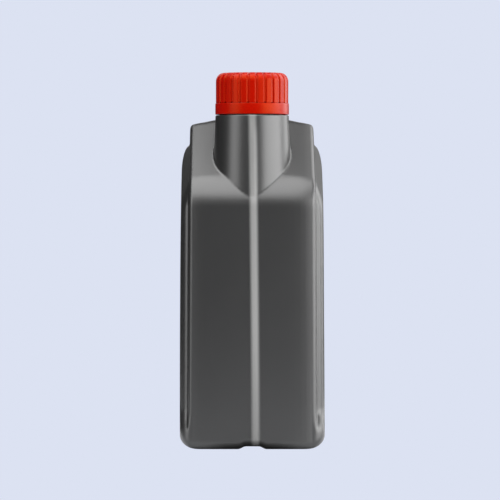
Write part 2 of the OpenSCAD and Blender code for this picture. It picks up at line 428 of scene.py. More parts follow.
@dataclass(frozen=True)
class CapPlastic:
    """Bright moulded cap plastic with a soft gloss and a slight orange peel."""

    name: str = "cap_polypropylene"
    deep: Triple = (0.140, 0.0006, 0.0)
    bright: Triple = (0.178, 0.0012, 0.0001)
    shine: Triple = (1.0, 0.25, 0.05)
    flow: float = 40.0
    flow_detail: float = 3.0
    flow_upward: float = 0.3
    roughness: float = 0.34
    spread: float = 0.06
    specular: float = 0.25
    peel: float = 900.0
    peel_detail: float = 1.0
    peel_strength: float = 0.05
    peel_h: float = 0.2

    def make(self) -> bpy.types.Material:
        """Build the material.

        Returns:
            The finished material.
        """
        c = Canvas(bpy.data.materials.new(self.name))
        flow = c.noise(self.flow, self.flow_detail, self.flow_upward)
        peel = c.noise(self.peel, self.peel_detail)
        return c.finish(
            {
                "Base Color": c.blend(flow, self.deep, self.bright),
                "Roughness": self.roughness - self.spread / 2.0 + flow * self.spread,
                "Specular IOR Level": self.specular,
                "Specular Tint": (*self.shine, 1.0),
                "Normal": c.bump(peel, self.peel_strength, self.peel_h),
            }
        )


@dataclass(frozen=True)
class FoamWad:
    """Off-white sealing foam with fine closed cells."""

    name: str = "liner_foam"
    low: Triple = (0.72, 0.70, 0.64)
    high: Triple = (0.86, 0.85, 0.80)
    cells: float = 1400.0
    cell_strength: float = 0.2
    cell_h: float = 0.2
    roughness: float = 0.62
    spread: float = 0.2

    def make(self) -> bpy.types.Material:
        """Build the material.

        Returns:
            The finished material.
        """
        c = Canvas(bpy.data.materials.new(self.name))
        cells = c.node("ShaderNodeTexVoronoi", {}, {"Vector": c.place(), "Scale": self.cells})
        return c.finish(
            {
                "Base Color": c.blend(cells, self.high, self.low),
                "Roughness": self.roughness + cells * self.spread,
                "Normal": c.bump(cells, self.cell_strength, self.cell_h),
            }
        )


def new_piece(name: str, bm: bmesh.types.BMesh, sharp: float = 40.0) -> bpy.types.Object:
    """Turn a bmesh in millimetres into an object in metres.

    Args:
        name: Name of the piece.
        bm: The mesh, freed afterwards.
        sharp: Angle in degrees above which an edge stays sharp.

    Returns:
        The new object, at the origin.
    """
    bmesh.ops.scale(bm, vec=(MM, MM, MM), verts=bm.verts)
    mesh = bpy.data.meshes.new(name)
    bm.to_mesh(mesh)
    bm.free()
    piece = bpy.data.objects.new(name, mesh)
    bpy.context.scene.collection.objects.link(piece)
    soften(piece, sharp)
    return piece


def soften(piece: bpy.types.Object, sharp: float) -> None:
    """Shade a piece smooth.

    Args:
        piece: The piece.
        sharp: Angle in degrees above which an edge stays sharp.
    """
    for face in piece.data.polygons:
        face.use_smooth = True
    piece.data.set_sharp_from_angle(angle=math.radians(sharp))


def ring_edges(bm: bmesh.types.BMesh, ring: Verts) -> list[bmesh.types.BMEdge]:
    """Edges of a closed ring of vertices, in order."""
    return [bm.edges.get(pair) for pair in zip(ring, ring[1:] + ring[:1])]


def grown(bm: bmesh.types.BMesh, ring: Verts) -> Verts:
    """Extrude a closed ring of vertices.

    Args:
        bm: Mesh that holds the ring.
        ring: The vertices, in order.

    Returns:
        The new ring, in the same order and still in the same place.
    """
    made = bmesh.ops.extrude_edge_only(bm, edges=ring_edges(bm, ring))["geom"]
    fresh = {v for v in made if isinstance(v, bmesh.types.BMVert)}
    return [next(e.other_vert(v) for e in v.link_edges if e.other_vert(v) in fresh) for v in ring]


def spun(bm: bmesh.types.BMesh, profile: list[Point], axis_y: float, steps: int, closed: bool) -> Verts:
    """Spin a profile round the neck axis.

    Args:
        bm: Mesh to add to, in millimetres.
        profile: Points as radius and height, outside first going up.
        axis_y: Place of the axis along Y.
        steps: Steps round the axis.
        closed: Whether the profile's last point joins its first.

    Returns:
        The vertices made.
    """
    before = set(bm.verts)
    points = [bm.verts.new((0.0, axis_y - max(r, 0.0), z)) for r, z in profile]
    pairs = list(zip(points, points[1:]))
    if closed:
        pairs.append((points[-1], points[0]))
    edges = [bm.edges.new(pair) for pair in pairs]
    bmesh.ops.spin(
        bm,
        geom=points + edges,
        cent=(0.0, axis_y, 0.0),
        axis=(0.0, 0.0, 1.0),
        angle=math.tau,
        steps=steps,
        use_merge=True,
    )
    made = [v for v in bm.verts if v not in before]
    bmesh.ops.remove_doubles(bm, verts=made, dist=MERGE)
    made = [v for v in bm.verts if v not in before]
    faces = {f for v in made for f in v.link_faces}
    bmesh.ops.recalc_face_normals(bm, faces=list(faces))
    return made


@dataclass(frozen=True)
class Thread:
    """A thread ridge on a helix, in millimetres, that runs out at both ends.

    The land is the ridge's flat crest, from one height above the foot to another. The fade is the
    run-out in radians, and least is the share of the ridge that is left at its ends.
    """

    root: float
    crest: float
    foot_z: float
    height: float
    land: Point
    lead: float
    turns: float
    steps: int = 72
    fade: float = 0.5
    least: float = 0.15

    def sweep(self, bm: bmesh.types.BMesh, axis_y: float) -> None:
        """Sweep the ridge up its helix round the neck axis.

        Args:
            bm: Mesh to add to, in millimetres.
            axis_y: Place of the axis along Y.
        """
        profile = [
            (self.root, self.foot_z),
            (self.root, self.foot_z + self.height),
            (self.crest, self.foot_z + self.land[1]),
            (self.crest, self.foot_z + self.land[0]),
        ]
        before = set(bm.verts)
        face = bm.faces.new([bm.verts.new((0.0, axis_y - r, z)) for r, z in profile])
        steps = int(self.steps * self.turns)
        bmesh.ops.spin(
            bm,
            geom=[face],
            cent=(0.0, axis_y, 0.0),
            axis=(0.0, 0.0, 1.0),
            dvec=(0.0, 0.0, self.lead * self.turns / steps),
            angle=math.tau * self.turns,
            steps=steps,
        )
        made = [v for v in bm.verts if v not in before]
        for v in made:
            rise = (v.co.z - self.foot_z) / self.lead
            run = min(rise, self.turns - rise) * math.tau
            share = self.least + (1.0 - self.least) * smoothstep(run / self.fade)
            out = Vector((v.co.x, v.co.y - axis_y, 0.0))
            out = out.normalized() * (self.root + (out.length - self.root) * share)
            v.co.x = out.x
            v.co.y = out.y + axis_y
        faces = {f for v in made for f in v.link_faces}
        bmesh.ops.recalc_face_normals(bm, faces=list(faces))


@dataclass
class Neck:
    """The neck cone and the pouring finish, in millimetres."""

    axis_y: float = -67.0625
    # Cone with its well
    taper: float = 0.0375
    foot_z: float = 188.5
    wall: float = 2.4
    well_z: float = 205.0
    cone_end: float = 1.6
    cone_steps: int = 24
    cone_spin: int = 240
    # Collar, which laps over the cone at its foot, at its edge and inside
    collar_z: float = 265.5
    collar_r: float = 29.3
    collar_top: float = 266.1
    collar_deep: float = 5.0
    collar_round: float = 0.9
    round_step: int = 15
    lap_foot: float = 0.02
    lap_edge: float = 0.04
    lap_inside: float = 0.1
    # Pouring finish with its locking bead, mouth and bore
    finish_r: float = 25.0
    finish_root: float = 0.5
    finish_spin: int = 160
    lock_z: float = 268.6
    lock_out: float = 1.7
    lock_edge: Point = (0.3, 0.25)
    lock_low: float = 0.6
    lock_high: float = 1.2
    lock_end: float = 3.0
    mouth_z: float = 296.6
    mouth_in: float = 1.6
    mouth_drop: float = 3.0
    mouth_edge: float = 0.2
    bore_r: float = 22.0
    bore_edge: float = 0.3
    bore_foot: float = 1.5
    # Thread
    thread_lead: float = 6.0
    thread_root: float = 0.3
    thread_out: float = 1.3
    thread_z: float = 278.0
    thread_h: float = 2.6
    thread_land: Point = (0.85, 1.75)
    thread_turns: float = 2.0

    def radius_at(self, z: float) -> float:
        """Outside radius of the neck cone at a height."""
        return self.collar_r + self.taper * (self.collar_z - z)

    def cone(self, bm: bmesh.types.BMesh) -> None:
        """Add the neck cone with its well, open at the top.

        Args:
            bm: Mesh to add to, in millimetres.
        """
        top = self.collar_z - self.cone_end
        rise = top - self.foot_z
        levels = [self.foot_z + rise * i / self.cone_steps for i in range(self.cone_steps + 1)]
        profile = [(0.0, self.foot_z)]
        profile += [(self.radius_at(z), z) for z in levels]
        profile += [(self.radius_at(z) - self.wall, z) for z in (top, self.well_z)]
        profile.append((0.0, self.well_z))
        spun(bm, profile, self.axis_y, self.cone_spin, False)

    def finish_profile(self) -> list[Point]:
        """Closed section of the pouring finish.

        Returns:
            Points as radius and height: collar, locking bead, mouth and bore.
        """
        top = self.collar_top
        foot = top - self.collar_deep
        edge_r = self.collar_r + self.lap_edge
        edge = self.collar_round
        lock_r = self.finish_r + self.lock_out
        mouth_r = self.finish_r - self.mouth_in
        points = [(self.radius_at(foot) + self.lap_foot, foot), (edge_r, top - edge)]
        turns = angles(self.round_step, 90, self.round_step)
        points += arc((edge_r - edge, top - edge), (edge, edge), turns)
        points += [
            (self.finish_r + self.finish_root, top),
            (self.finish_r, top + self.finish_root),
            (self.finish_r, self.lock_z),
            (lock_r - self.lock_edge[0], self.lock_z + self.lock_edge[1]),
            (lock_r, self.lock_z + self.lock_low),
            (lock_r, self.lock_z + self.lock_high),
            (self.finish_r, self.lock_z + self.lock_end),
            (self.finish_r, self.mouth_z - self.mouth_drop),
            (mouth_r, self.mouth_z - self.mouth_edge),
            (mouth_r - self.mouth_edge, self.mouth_z),
            (self.bore_r + self.bore_edge, self.mouth_z),
            (self.bore_r, self.mouth_z - self.bore_edge),
            (self.bore_r, top - self.bore_foot),
            (self.radius_at(foot) - self.wall - self.lap_inside, foot),
        ]
        return points

    def pouring_finish(self) -> bmesh.types.BMesh:
        """Model collar, locking bead, mouth and thread.

        Returns:
            One spun ring with its bore and the ridge of its thread, in millimetres.
        """
        bm = bmesh.new()
        spun(bm, self.finish_profile(), self.axis_y, self.finish_spin, True)
        thread = Thread(
            root=self.finish_r - self.thread_root,
            crest=self.finish_r + self.thread_out,
            foot_z=self.thread_z,
            height=self.thread_h,
            land=self.thread_land,
            lead=self.thread_lead,
            turns=self.thread_turns,
        )
        thread.sweep(bm, self.axis_y)
        return bm


@dataclass(frozen=True)
class Section:
    """One section of the jug's skin, at a distance x from the parting line, in millimetres.

    The inset sets the outline back above the base band, and band does so on the band. Lift raises
    the base, swell fills out the back of the ridge, and slope sets back the shoulder slope.
    """

    x: float
    inset: float
    band: float
    lift: float
    swell: float
    slope: float


@dataclass
class JugBody:
    """The blow moulded jug, in millimetres: skin, neck and grip grown into one, with the pouring finish."""

    neck: Neck
    level: LevelStrip
    plastic: bpy.types.Material
    # Side view: narrow faces, shoulder slope, ridge and deck
    width: float = 115.6
    depth: float = 200.0
    shoulder_z: float = 208.5
    slope: float = 39.0
    bend_r: float = 35.0
    least_bend: float = 8.0
    ridge_r: float = 10.0
    least_ridge: float = 2.5
    crest_z: float = 262.5
    crown_fall: float = 0.2
    crown_half: float = 38.5
    back_lean: float = 8.0
    deck_z: float = 192.0
    deck_fall: float = 3.0
    deck_r: float = 18.0
    rear_r: float = 30.0
    # Side panels with the valley, the ledge and the bevel beside each long edge
    panel_out: float = 6.4
    panel_margin: float = 12.0
    bevel_run: float = 11.0
    bevel_step: int = 9
    valley_x: float = 0.05
    valley_in: float = 2.5
    ledge_x: float = 0.1
    panel_ridge: float = 7.0
    panel_bow: float = 0.5
    eye_back: float = 45.0
    eye_drop: float = 80.0
    eye_rings: tuple[float, ...] = (0.85, 0.6, 0.35, 0.15)
    # Edges and drafts
    edge_r: float = 3.4
    edge_drop: float = 4.0
    edge_step: int = 10
    face_draft: float = 2.6
    face_curve: float = 5.0
    face_stations: tuple[float, ...] = (17.0, 23.0, 29.0, 34.0, 39.0, 43.0, 46.0)
    side_draft: float = 0.3
    ridge_pinch: float = 0.7
    pinch_z: float = 180.0
    # Level strip
    strip_h: float = 0.6
    strip_half: float = 4.4
    strip_end: float = 3.0
    strip_fade: float = 14.0
    strip_front: float = 5.0
    # Base with its band and arch
    corner_r: float = 11.0
    base_r: float = 11.0
    base_run: float = 14.5
    toe_r: float = 6.0
    toe_share: float = 0.8
    band_z: float = 21.0
    flute_ramp: float = 18.0
    ramp_below: float = 0.4
    arch_h: float = 2.2
    arch_top: float = 5.5
    arch_foot: float = 11.0
    arch_stations: int = 10
    # Steps along the outline
    toe_steps: int = 8
    ramp_steps: int = 8
    bend_steps: int = 18
    deck_steps: int = 14
    ridge_steps: int = 16
    # Tube grip
    grip_r: float = 14.0
    grip_flat: float = 8.0
    grip_sides: int = 56
    grip_bend: float = 34.0
    grip_drop: float = 1.5
    grip_start: float = 3.0
    grip_setback: float = 2.0
    grip_flare: float = 7.0
    flare_gap: float = 1.0
    flare_top: float = 0.15
    stem_steps: int = 24
    turn_steps: int = 24
    arm_steps: int = 30
    # Melting into one skin
    voxel: float = 0.8
    smooth_factor: float = 0.5
    smooth_passes: int = 3
    keep: float = 0.24

    def __post_init__(self) -> None:
        """Work out the sizes that follow from the others."""
        slope = math.radians(self.slope)
        lean = math.radians(self.back_lean)
        self.upright = 90.0 + self.back_lean
        self.half = self.width / 2.0
        self.front = -self.depth / 2.0
        self.core = self.half - self.panel_out
        self.edge_x = self.core - self.edge_r
        self.edge_inset = self.face_draft + self.edge_drop
        self.panel_inset = self.panel_margin + self.bevel_run
        mean = math.radians((self.upright + self.slope) / 2.0)
        spread = math.radians((self.upright - self.slope) / 2.0)
        self.ridge_fall = math.sin(mean) / math.sin(spread) - 1.0
        ridge_z = self.crest_z - self.ridge_r
        rise = (ridge_z - self.shoulder_z) * math.cos(slope)
        ridge_y = self.front + (self.ridge_r + rise) / math.sin(slope)
        self.back = (
            ridge_y + self.ridge_r * math.cos(lean),
            ridge_z + self.ridge_r * math.sin(lean),
        )
        self.grip_z = self.crest_z - self.grip_drop - self.grip_r
        self.grip_y0 = ridge_y + self.grip_start
        self.grip_y1 = self.depth / 2.0 - self.grip_setback - self.grip_r
        self.bend_y = self.grip_y1 - self.grip_bend
        self.bend_z = self.grip_z - self.grip_bend
        self.eye = (self.front + self.eye_back, self.shoulder_z - self.eye_drop)

    def slope_point(self, inset: float) -> Point:
        """Point on the shoulder slope's line, set back by an inset."""
        a = math.radians(self.slope)
        return self.front + inset * math.sin(a), self.shoulder_z - inset * math.cos(a)

    def ramp(self, s: Section) -> list[Point]:
        """Way from the base band's inset up to the inset above it.

        Args:
            s: Section of the skin.

        Returns:
            Points as inset and Z, from the band up.
        """
        points = []
        for i in range(self.ramp_steps + 1):
            t = i / self.ramp_steps
            inset = s.band + (s.inset - s.band) * smoothstep(t)
            points.append((inset, self.band_z + self.flute_ramp * (t - self.ramp_below)))
        return points

    def outline(self, s: Section) -> list[Point]:
        """Outline seen from the side.

        Args:
            s: Section of the skin.

        Returns:
            Points as Y and Z, all round.
        """
        lean = math.radians(self.back_lean)
        rear = -self.front
        ramp = self.ramp(s)
        low = ramp[0][1]
        high = ramp[-1][1]
        deck = (0.0, self.deck_z - s.inset)
        slope = self.slope_point(s.slope)
        back = (
            self.back[0] + s.swell - s.inset * math.cos(lean),
            self.back[1] - s.inset * math.sin(lean),
        )
        k_rear = meet(deck, -self.deck_fall, (rear - s.inset, high), 90.0)
        k_deck = meet(back, self.upright, deck, -self.deck_fall)
        k_ridge = meet(slope, self.slope, back, self.upright)
        k_bend = meet((self.front + s.inset, 0.0), 90.0, slope, self.slope)
        ridge_r = max(self.ridge_r - s.inset, self.least_ridge)
        if s.inset >= self.panel_margin:
            crest = meet(self.slope_point(s.inset), self.slope, back, self.upright)
            ridge_r = self.panel_ridge + (k_ridge[1] - crest[1]) / self.ridge_fall
        rear_r = max(self.rear_r - s.inset, self.least_bend)
        bend_r = max(self.bend_r - s.inset, self.least_bend)
        toe_r = min(self.toe_r, (low - s.lift) * self.toe_share)
        toe = (self.front + s.band, s.lift)
        heel = (rear - s.band, s.lift)
        points = round_corner((self.front + s.band, low), toe, heel, toe_r, self.toe_steps)
        points += round_corner(toe, heel, (rear - s.band, low), toe_r, self.toe_steps)
        points += [(rear - inset, z) for inset, z in ramp]
        points += round_corner((rear - s.inset, high), k_rear, k_deck, rear_r, self.bend_steps)
        points += round_corner(k_rear, k_deck, k_ridge, self.deck_r + s.inset, self.deck_steps)
        points += round_corner(k_deck, k_ridge, k_bend, ridge_r, self.ridge_steps)
        points += round_corner(k_ridge, k_bend, (self.front + s.inset, high), bend_r, self.bend_steps)
        points += [(self.front + inset, z) for inset, z in reversed(ramp)]
        return points

    def draft(self, x: float) -> float:
        """Setback of the narrow faces at distance x from the parting line."""
        return self.face_draft * (min(x, self.edge_x) / self.edge_x) ** self.face_curve

    def strip(self, x: float) -> float:
        """Height of the level strip at distance x from its middle."""
        return self.strip_h * smoothstep(1.0 - abs(x) / self.strip_half)

    def section_at(self, x: float, inset: float) -> Section:
        """Work out a section of the skin.

        Args:
            x: Distance from the parting line.
            inset: Inset of the outline above the base band.

        Returns:
            The section.
        """
        plain = self.draft(x) + quarter(x, self.edge_x, self.half, self.corner_r)
        arch = self.arch_h * smoothstep((self.arch_foot - x) / (self.arch_foot - self.arch_top))
        edge = quarter(x, self.half - self.base_run, self.half, self.base_r)
        crown = self.crown_fall * max(0.0, self.crown_half - max(x, self.neck.collar_r))
        slope = inset
        if x > self.core:
            bevel = self.panel_inset - self.edge_inset
            slope = self.edge_inset + bevel * (x - self.core) / self.panel_out
        return Section(x, inset, min(inset, plain), arch + edge, crown, slope)

    def sections(self) -> list[Section]:
        """Work out the skin's sections.

        Returns:
            The sections from the parting line out to the face of a side panel.
        """
        arch = [self.arch_foot * i / self.arch_stations for i in range(self.arch_stations + 1)]
        rows = [self.section_at(x, self.draft(x)) for x in (*arch, *self.face_stations)]
        for t in angles(0, 90, self.edge_step):
            x = self.edge_x + self.edge_r * math.sin(t)
            rows.append(self.section_at(x, self.face_draft + self.edge_drop * (1.0 - math.cos(t))))
        rows.append(self.section_at(self.core + self.valley_x, self.panel_margin - self.valley_in))
        for t in angles(0, 90, self.bevel_step):
            x = self.core + self.ledge_x + (self.panel_out - self.ledge_x) * math.sin(t)
            rows.append(self.section_at(x, self.panel_margin + self.bevel_run * (1.0 - math.cos(t))))
        return rows

    def side_scale(self, z: float) -> float:
        """Taper of the sides with height.

        Args:
            z: The height.

        Returns:
            The scale of the distances from the parting line.
        """
        pinch = max(0.0, z - self.pinch_z) / (self.crest_z - self.pinch_z)
        taper = z * math.tan(math.radians(self.side_draft)) + self.ridge_pinch * pinch**2
        return 1.0 - taper / self.half

    def settle(self, ring: Verts, section: Section, part: float) -> None:
        """Put a ring of vertices on its outline, or nearer to the panel's eye.

        Args:
            ring: The vertices, in the outline's order.
            section: Section of the skin.
            part: Share of the way from the eye out to the outline.
        """
        eye_y, eye_z = self.eye
        bow = self.panel_bow * (1.0 - part * part)
        for v, (y, z) in zip(ring, self.outline(section)):
            y = eye_y + (y - eye_y) * part
            z = eye_z + (z - eye_z) * part
            v.co = (section.x * self.side_scale(z) + bow, y, z)

    def skin(self, bm: bmesh.types.BMesh) -> None:
        """Add the closed skin: a ring on the parting line, extruded out to each panel and mirrored.

        Args:
            bm: Mesh to add to, in millimetres.
        """
        first, *others = self.sections()
        size = len(self.outline(first))
        ring = list(bmesh.ops.create_circle(bm, segments=size, radius=1.0)["verts"])
        self.settle(ring, first, 1.0)
        stages = [(section, 1.0) for section in others]
        stages += [(others[-1], part) for part in self.eye_rings]
        for section, part in stages:
            ring = grown(bm, ring)
            self.settle(ring, section, part)
        eye = bmesh.ops.contextual_create(bm, geom=ring_edges(bm, ring))
        bmesh.ops.poke(bm, faces=eye["faces"])
        half = bm.verts[:] + bm.edges[:] + bm.faces[:]
        bmesh.ops.mirror(bm, geom=half, axis="X", merge_dist=MERGE)
        bmesh.ops.remove_doubles(bm, verts=bm.verts, dist=MERGE)
        bmesh.ops.recalc_face_normals(bm, faces=bm.faces)

    def raise_strip(self, bm: bmesh.types.BMesh) -> None:
        """Lift the front of the wall along the level strip.

        Args:
            bm: Mesh with the skin and the neck cone, in millimetres.
        """
        end_z = self.neck.collar_z - self.strip_end
        for v in bm.verts:
            if v.co.y < self.neck.axis_y - self.strip_front:
                fade = smoothstep((end_z - v.co.z) / self.strip_fade)
                v.co.y -= self.strip(v.co.x - self.level.middle(v.co.z)) * fade

    def grip_ring(self, bm: bmesh.types.BMesh) -> Verts:
        """Start the grip with its oval section, level in the deck.

        Args:
            bm: Mesh to add to, in millimetres.

        Returns:
            The vertices of the oval, in order.
        """
        ring = list(bmesh.ops.create_circle(bm, segments=self.grip_sides, radius=self.grip_r)["verts"])
        for v in ring:
            if abs(v.co.x) > SLACK:
                v.co.x += math.copysign(self.grip_flat / 2.0, v.co.x)
        lower = Matrix.Translation((0.0, self.grip_y1, self.deck_z - self.rear_r))
        bmesh.ops.transform(bm, matrix=lower, verts=ring)
        return ring

    def grip(self, bm: bmesh.types.BMesh) -> None:
        """Add the grip: up out of the deck, round the bend and into the ridge wall, flared at both roots.

        Args:
            bm: Mesh to add to, in millimetres.
        """

        def sweep(ring: Verts, steps: int, move: Callable[[Vector], Vector]) -> Verts:
            """Extrude a ring step by step and move each copy on.

            Args:
                ring: The ring to start from.
                steps: Number of copies.
                move: What takes a place to its copy's place.

            Returns:
                The last ring.
            """
            for _ in range(steps):
                ring = grown(bm, ring)
                for v in ring:
                    v.co = move(v.co)
            return ring

        rise = self.bend_z - (self.deck_z - self.rear_r)
        up = Vector((0.0, 0.0, rise / self.stem_steps))
        hub = Vector((0.0, self.bend_y, self.bend_z))
        turn = Matrix.Rotation(math.radians(90.0 / self.turn_steps), 4, "X")
        forward = Vector((0.0, (self.grip_y0 - self.bend_y) / self.arm_steps, 0.0))
        first = self.grip_ring(bm)
        last = sweep(first, self.stem_steps, lambda co: co + up)
        last = sweep(last, self.turn_steps, lambda co: hub + turn @ (co - hub))
        last = sweep(last, self.arm_steps, lambda co: co + forward)
        for ring in (first, last):
            bmesh.ops.contextual_create(bm, geom=ring_edges(bm, ring))
        self.flare(bm)
        bmesh.ops.recalc_face_normals(bm, faces=bm.faces)

    def deck_at(self, y: float) -> float:
        """Height of the deck, down over the rear rounding.

        Args:
            y: Place along Y.

        Returns:
            The height there.
        """
        past = max(0.0, y - (self.depth / 2.0 - self.rear_r))
        drop = self.rear_r - math.sqrt(max(0.0, self.rear_r**2 - past**2))
        return self.deck_z - math.tan(math.radians(self.deck_fall)) * y - drop

    def flare(self, bm: bmesh.types.BMesh) -> None:
        """Widen the grip where it leaves the ridge wall and where it meets the deck.

        Args:
            bm: Mesh with the grip alone, in millimetres.
        """
        wall_y = self.back[0] + self.flare_gap
        stem_z = self.bend_z - SLACK
        for v in bm.verts:
            if v.co.z > stem_z and v.co.y < self.bend_y:
                near = 1.0 - (v.co.y - wall_y) / self.grip_flare
                out = Vector((v.co.x, 0.0, v.co.z - self.grip_z))
                if v.co.z > self.grip_z:
                    out.z *= self.flare_top
            elif v.co.z < stem_z:
                near = 1.0 - (v.co.z - self.deck_at(v.co.y)) / self.grip_flare
                out = Vector((v.co.x, min(0.0, v.co.y - self.grip_y1), 0.0))
            else:
                continue
            v.co += out / self.grip_r * quarter(near, 0.0, 1.0, self.grip_flare)

    def fuse(self, piece: bpy.types.Object) -> None:
        """Melt the overlapping solids into one skin with soft inner corners.

        Args:
            piece: The piece, which gets the new mesh.
        """
        remesh = piece.modifiers.new("melt", "REMESH")
        remesh.mode = "VOXEL"
        remesh.voxel_size = self.voxel * MM
        smooth = piece.modifiers.new("soften", "SMOOTH")
        smooth.factor = self.smooth_factor
        smooth.iterations = self.smooth_passes
        thin = piece.modifiers.new("thin", "DECIMATE")
        thin.ratio = self.keep
        graph = bpy.context.evaluated_depsgraph_get()
        mesh = bpy.data.meshes.new_from_object(piece.evaluated_get(graph))
        piece.modifiers.clear()
        piece.data = mesh
        soften(piece, ALL_SMOOTH)

    def join(self, piece: bpy.types.Object, part: bpy.types.Object) -> None:
        """Join a part into a piece, keeping the part's sharp edges.

        Args:
            piece: The piece that stays.
            part: The part that goes into it.
        """
        both = [piece, part]
        with bpy.context.temp_override(
            active_object=piece,
            object=piece,
            selected_objects=both,
            selected_editable_objects=both,
        ):
            bpy.ops.object.join()

    def build(self) -> bpy.types.Object:
        """Grow the parts into one skin, join the pouring finish and dress it.

        Returns:
            The jug's piece.
        """
        bm = bmesh.new()
        self.grip(bm)
        grip = bpy.data.meshes.new("grip_part")
        bm.to_mesh(grip)
        bm.free()
        bm = bmesh.new()
        self.skin(bm)
        self.neck.cone(bm)
        self.raise_strip(bm)
        bm.from_mesh(grip)
        piece = new_piece("jug_shell", bm, ALL_SMOOTH)
        self.fuse(piece)
        self.join(piece, new_piece("pouring_finish", self.neck.pouring_finish()))
        piece.data.materials.clear()
        piece.data.materials.append(self.plastic)
        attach(piece, Body.JUG.value)
        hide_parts("jug_body")
        log.info("jug_shell: %d faces", len(piece.data.polygons))
        return piece


@dataclass
class ScrewCap:
    """The ribbed cap with its inside thread, in millimetres."""

    neck: Neck
    plastic: bpy.types.Material
    # Shell
    foot_z: float = 275.65
    foot_edge: float = 0.06
    radius: float = 29.0
    height: float = 24.35
    top: float = 2.2
    bore: float = 26.9
    bore_edge: Point = (0.25, 0.3)
    cone_in: float = 2.7
    cone_h: float = 5.5
    round_w: float = 6.2
    round_h: float = 7.0
    round_step: int = 5
    side_z: float = 0.4
    side_steps: int = 10
    top_rings: tuple[float, ...] = (20.0, 18.5, 12.0, 6.0, 0.0)
    # Flat lands with grooves between them, from the foot to the plain disc on top
    ribs: int = 26
    rib_steps: int = 18
    depth: float = 0.9
    groove_half: float = 0.75
    groove_edge: float = 0.7
    groove_lead: float = 0.35
    groove_in: float = 18.4
    groove_run: float = 3.0
    groove_foot: float = 0.5
    groove_rise: float = 0.6
    disc_r: float = 18.6
    shell_in: float = 0.4
    # Thread
    thread_root: float = 0.3
    thread_in: float = 1.15
    thread_h: float = 2.4
    thread_land: Point = (0.8, 1.6)
    thread_turns: float = 1.5
    sharp: float = 32.0

    def __post_init__(self) -> None:
        """Work out the heights that follow from the sizes."""
        self.top_z = self.foot_z + self.height
        self.ceiling_z = self.top_z - self.top

    def profile(self) -> list[Point]:
        """Closed section of the cap.

        Returns:
            Points as radius and height: outside up, over the top, and down the inside.
        """
        foot = self.foot_z
        side = self.height - self.round_h
        plain = side - self.side_z
        points = [
            (self.bore + self.bore_edge[0], foot),
            (self.radius - self.foot_edge, foot),
            (self.radius, foot + self.foot_edge),
        ]
        points += [
            (self.radius, foot + self.side_z + plain * i / self.side_steps) for i in range(self.side_steps)
        ]
        shoulder = (self.radius - self.round_w, foot + side)
        points += arc(shoulder, (self.round_w, self.round_h), angles(0, 90, self.round_step))
        points += [(r, self.top_z) for r in self.top_rings]
        points += [
            (0.0, self.ceiling_z),
            (self.bore - self.cone_in, self.ceiling_z),
            (self.bore, self.ceiling_z - self.cone_h),
            (self.bore, foot + self.bore_edge[1]),
        ]
        return points

    def groove(self, co: Vector) -> float:
        """Depth of the groove or of the flat land.

        Args:
            co: A point of the outside.

        Returns:
            How far the point is pressed in.
        """
        angle = math.atan2(co.x, -(co.y - self.neck.axis_y))
        pitch = math.tau / self.ribs
        off = (angle / pitch + 0.5) % 1.0 - 0.5
        along = abs(off) * pitch
        land = pitch / 2.0 - (self.groove_half + self.groove_edge) / self.radius
        flat = 0.0
        if along < land:
            flat = self.radius * (1.0 - math.cos(land) / math.cos(along))
        gap = (pitch / 2.0 - along) * self.radius
        wall = (gap - self.groove_half + self.groove_lead) / (self.groove_edge + self.groove_lead)
        return flat + self.depth * (1.0 - smoothstep(wall))

    def press_grooves(self, bm: bmesh.types.BMesh, made: Verts) -> None:
        """Press grooves and flat lands into the outside of the spun cap.

        Args:
            bm: Mesh of the cap, in millimetres.
            made: Its vertices.
        """
        bm.normal_update()
        moves = []
        for v in made:
            r = Vector((v.co.x, v.co.y - self.neck.axis_y)).length
            over = v.co.z > self.ceiling_z + SLACK and r > self.disc_r
            if over or r > self.bore + self.shell_in:
                inward = smoothstep((r - self.groove_in) / self.groove_run)
                upward = smoothstep((v.co.z - self.foot_z + self.groove_foot) / self.groove_rise)
                moves.append((v, v.normal.copy() * self.groove(v.co) * inward * upward))
        for v, move in moves:
            v.co -= move

    def build(self) -> bpy.types.Object:
        """Spin the cap, press its grooves in, add the inside thread and dress it.

        Returns:
            The cap's piece.
        """
        n = self.neck
        bm = bmesh.new()
        made = spun(bm, self.profile(), n.axis_y, self.ribs * self.rib_steps, True)
        self.press_grooves(bm, made)
        thread = Thread(
            root=self.bore + self.thread_root,
            crest=self.bore - self.thread_in,
            foot_z=n.thread_z + n.thread_lead / 2.0,
            height=self.thread_h,
            land=self.thread_land,
            lead=n.thread_lead,
            turns=self.thread_turns,
        )
        thread.sweep(bm, n.axis_y)
        piece = new_piece("ribbed_cap", bm, self.sharp)
        piece.data.materials.append(self.plastic)
        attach(piece, Body.CAP.value)
        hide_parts("screw_cap")
        log.info("ribbed_cap: %d faces", len(piece.data.polygons))
        return piece


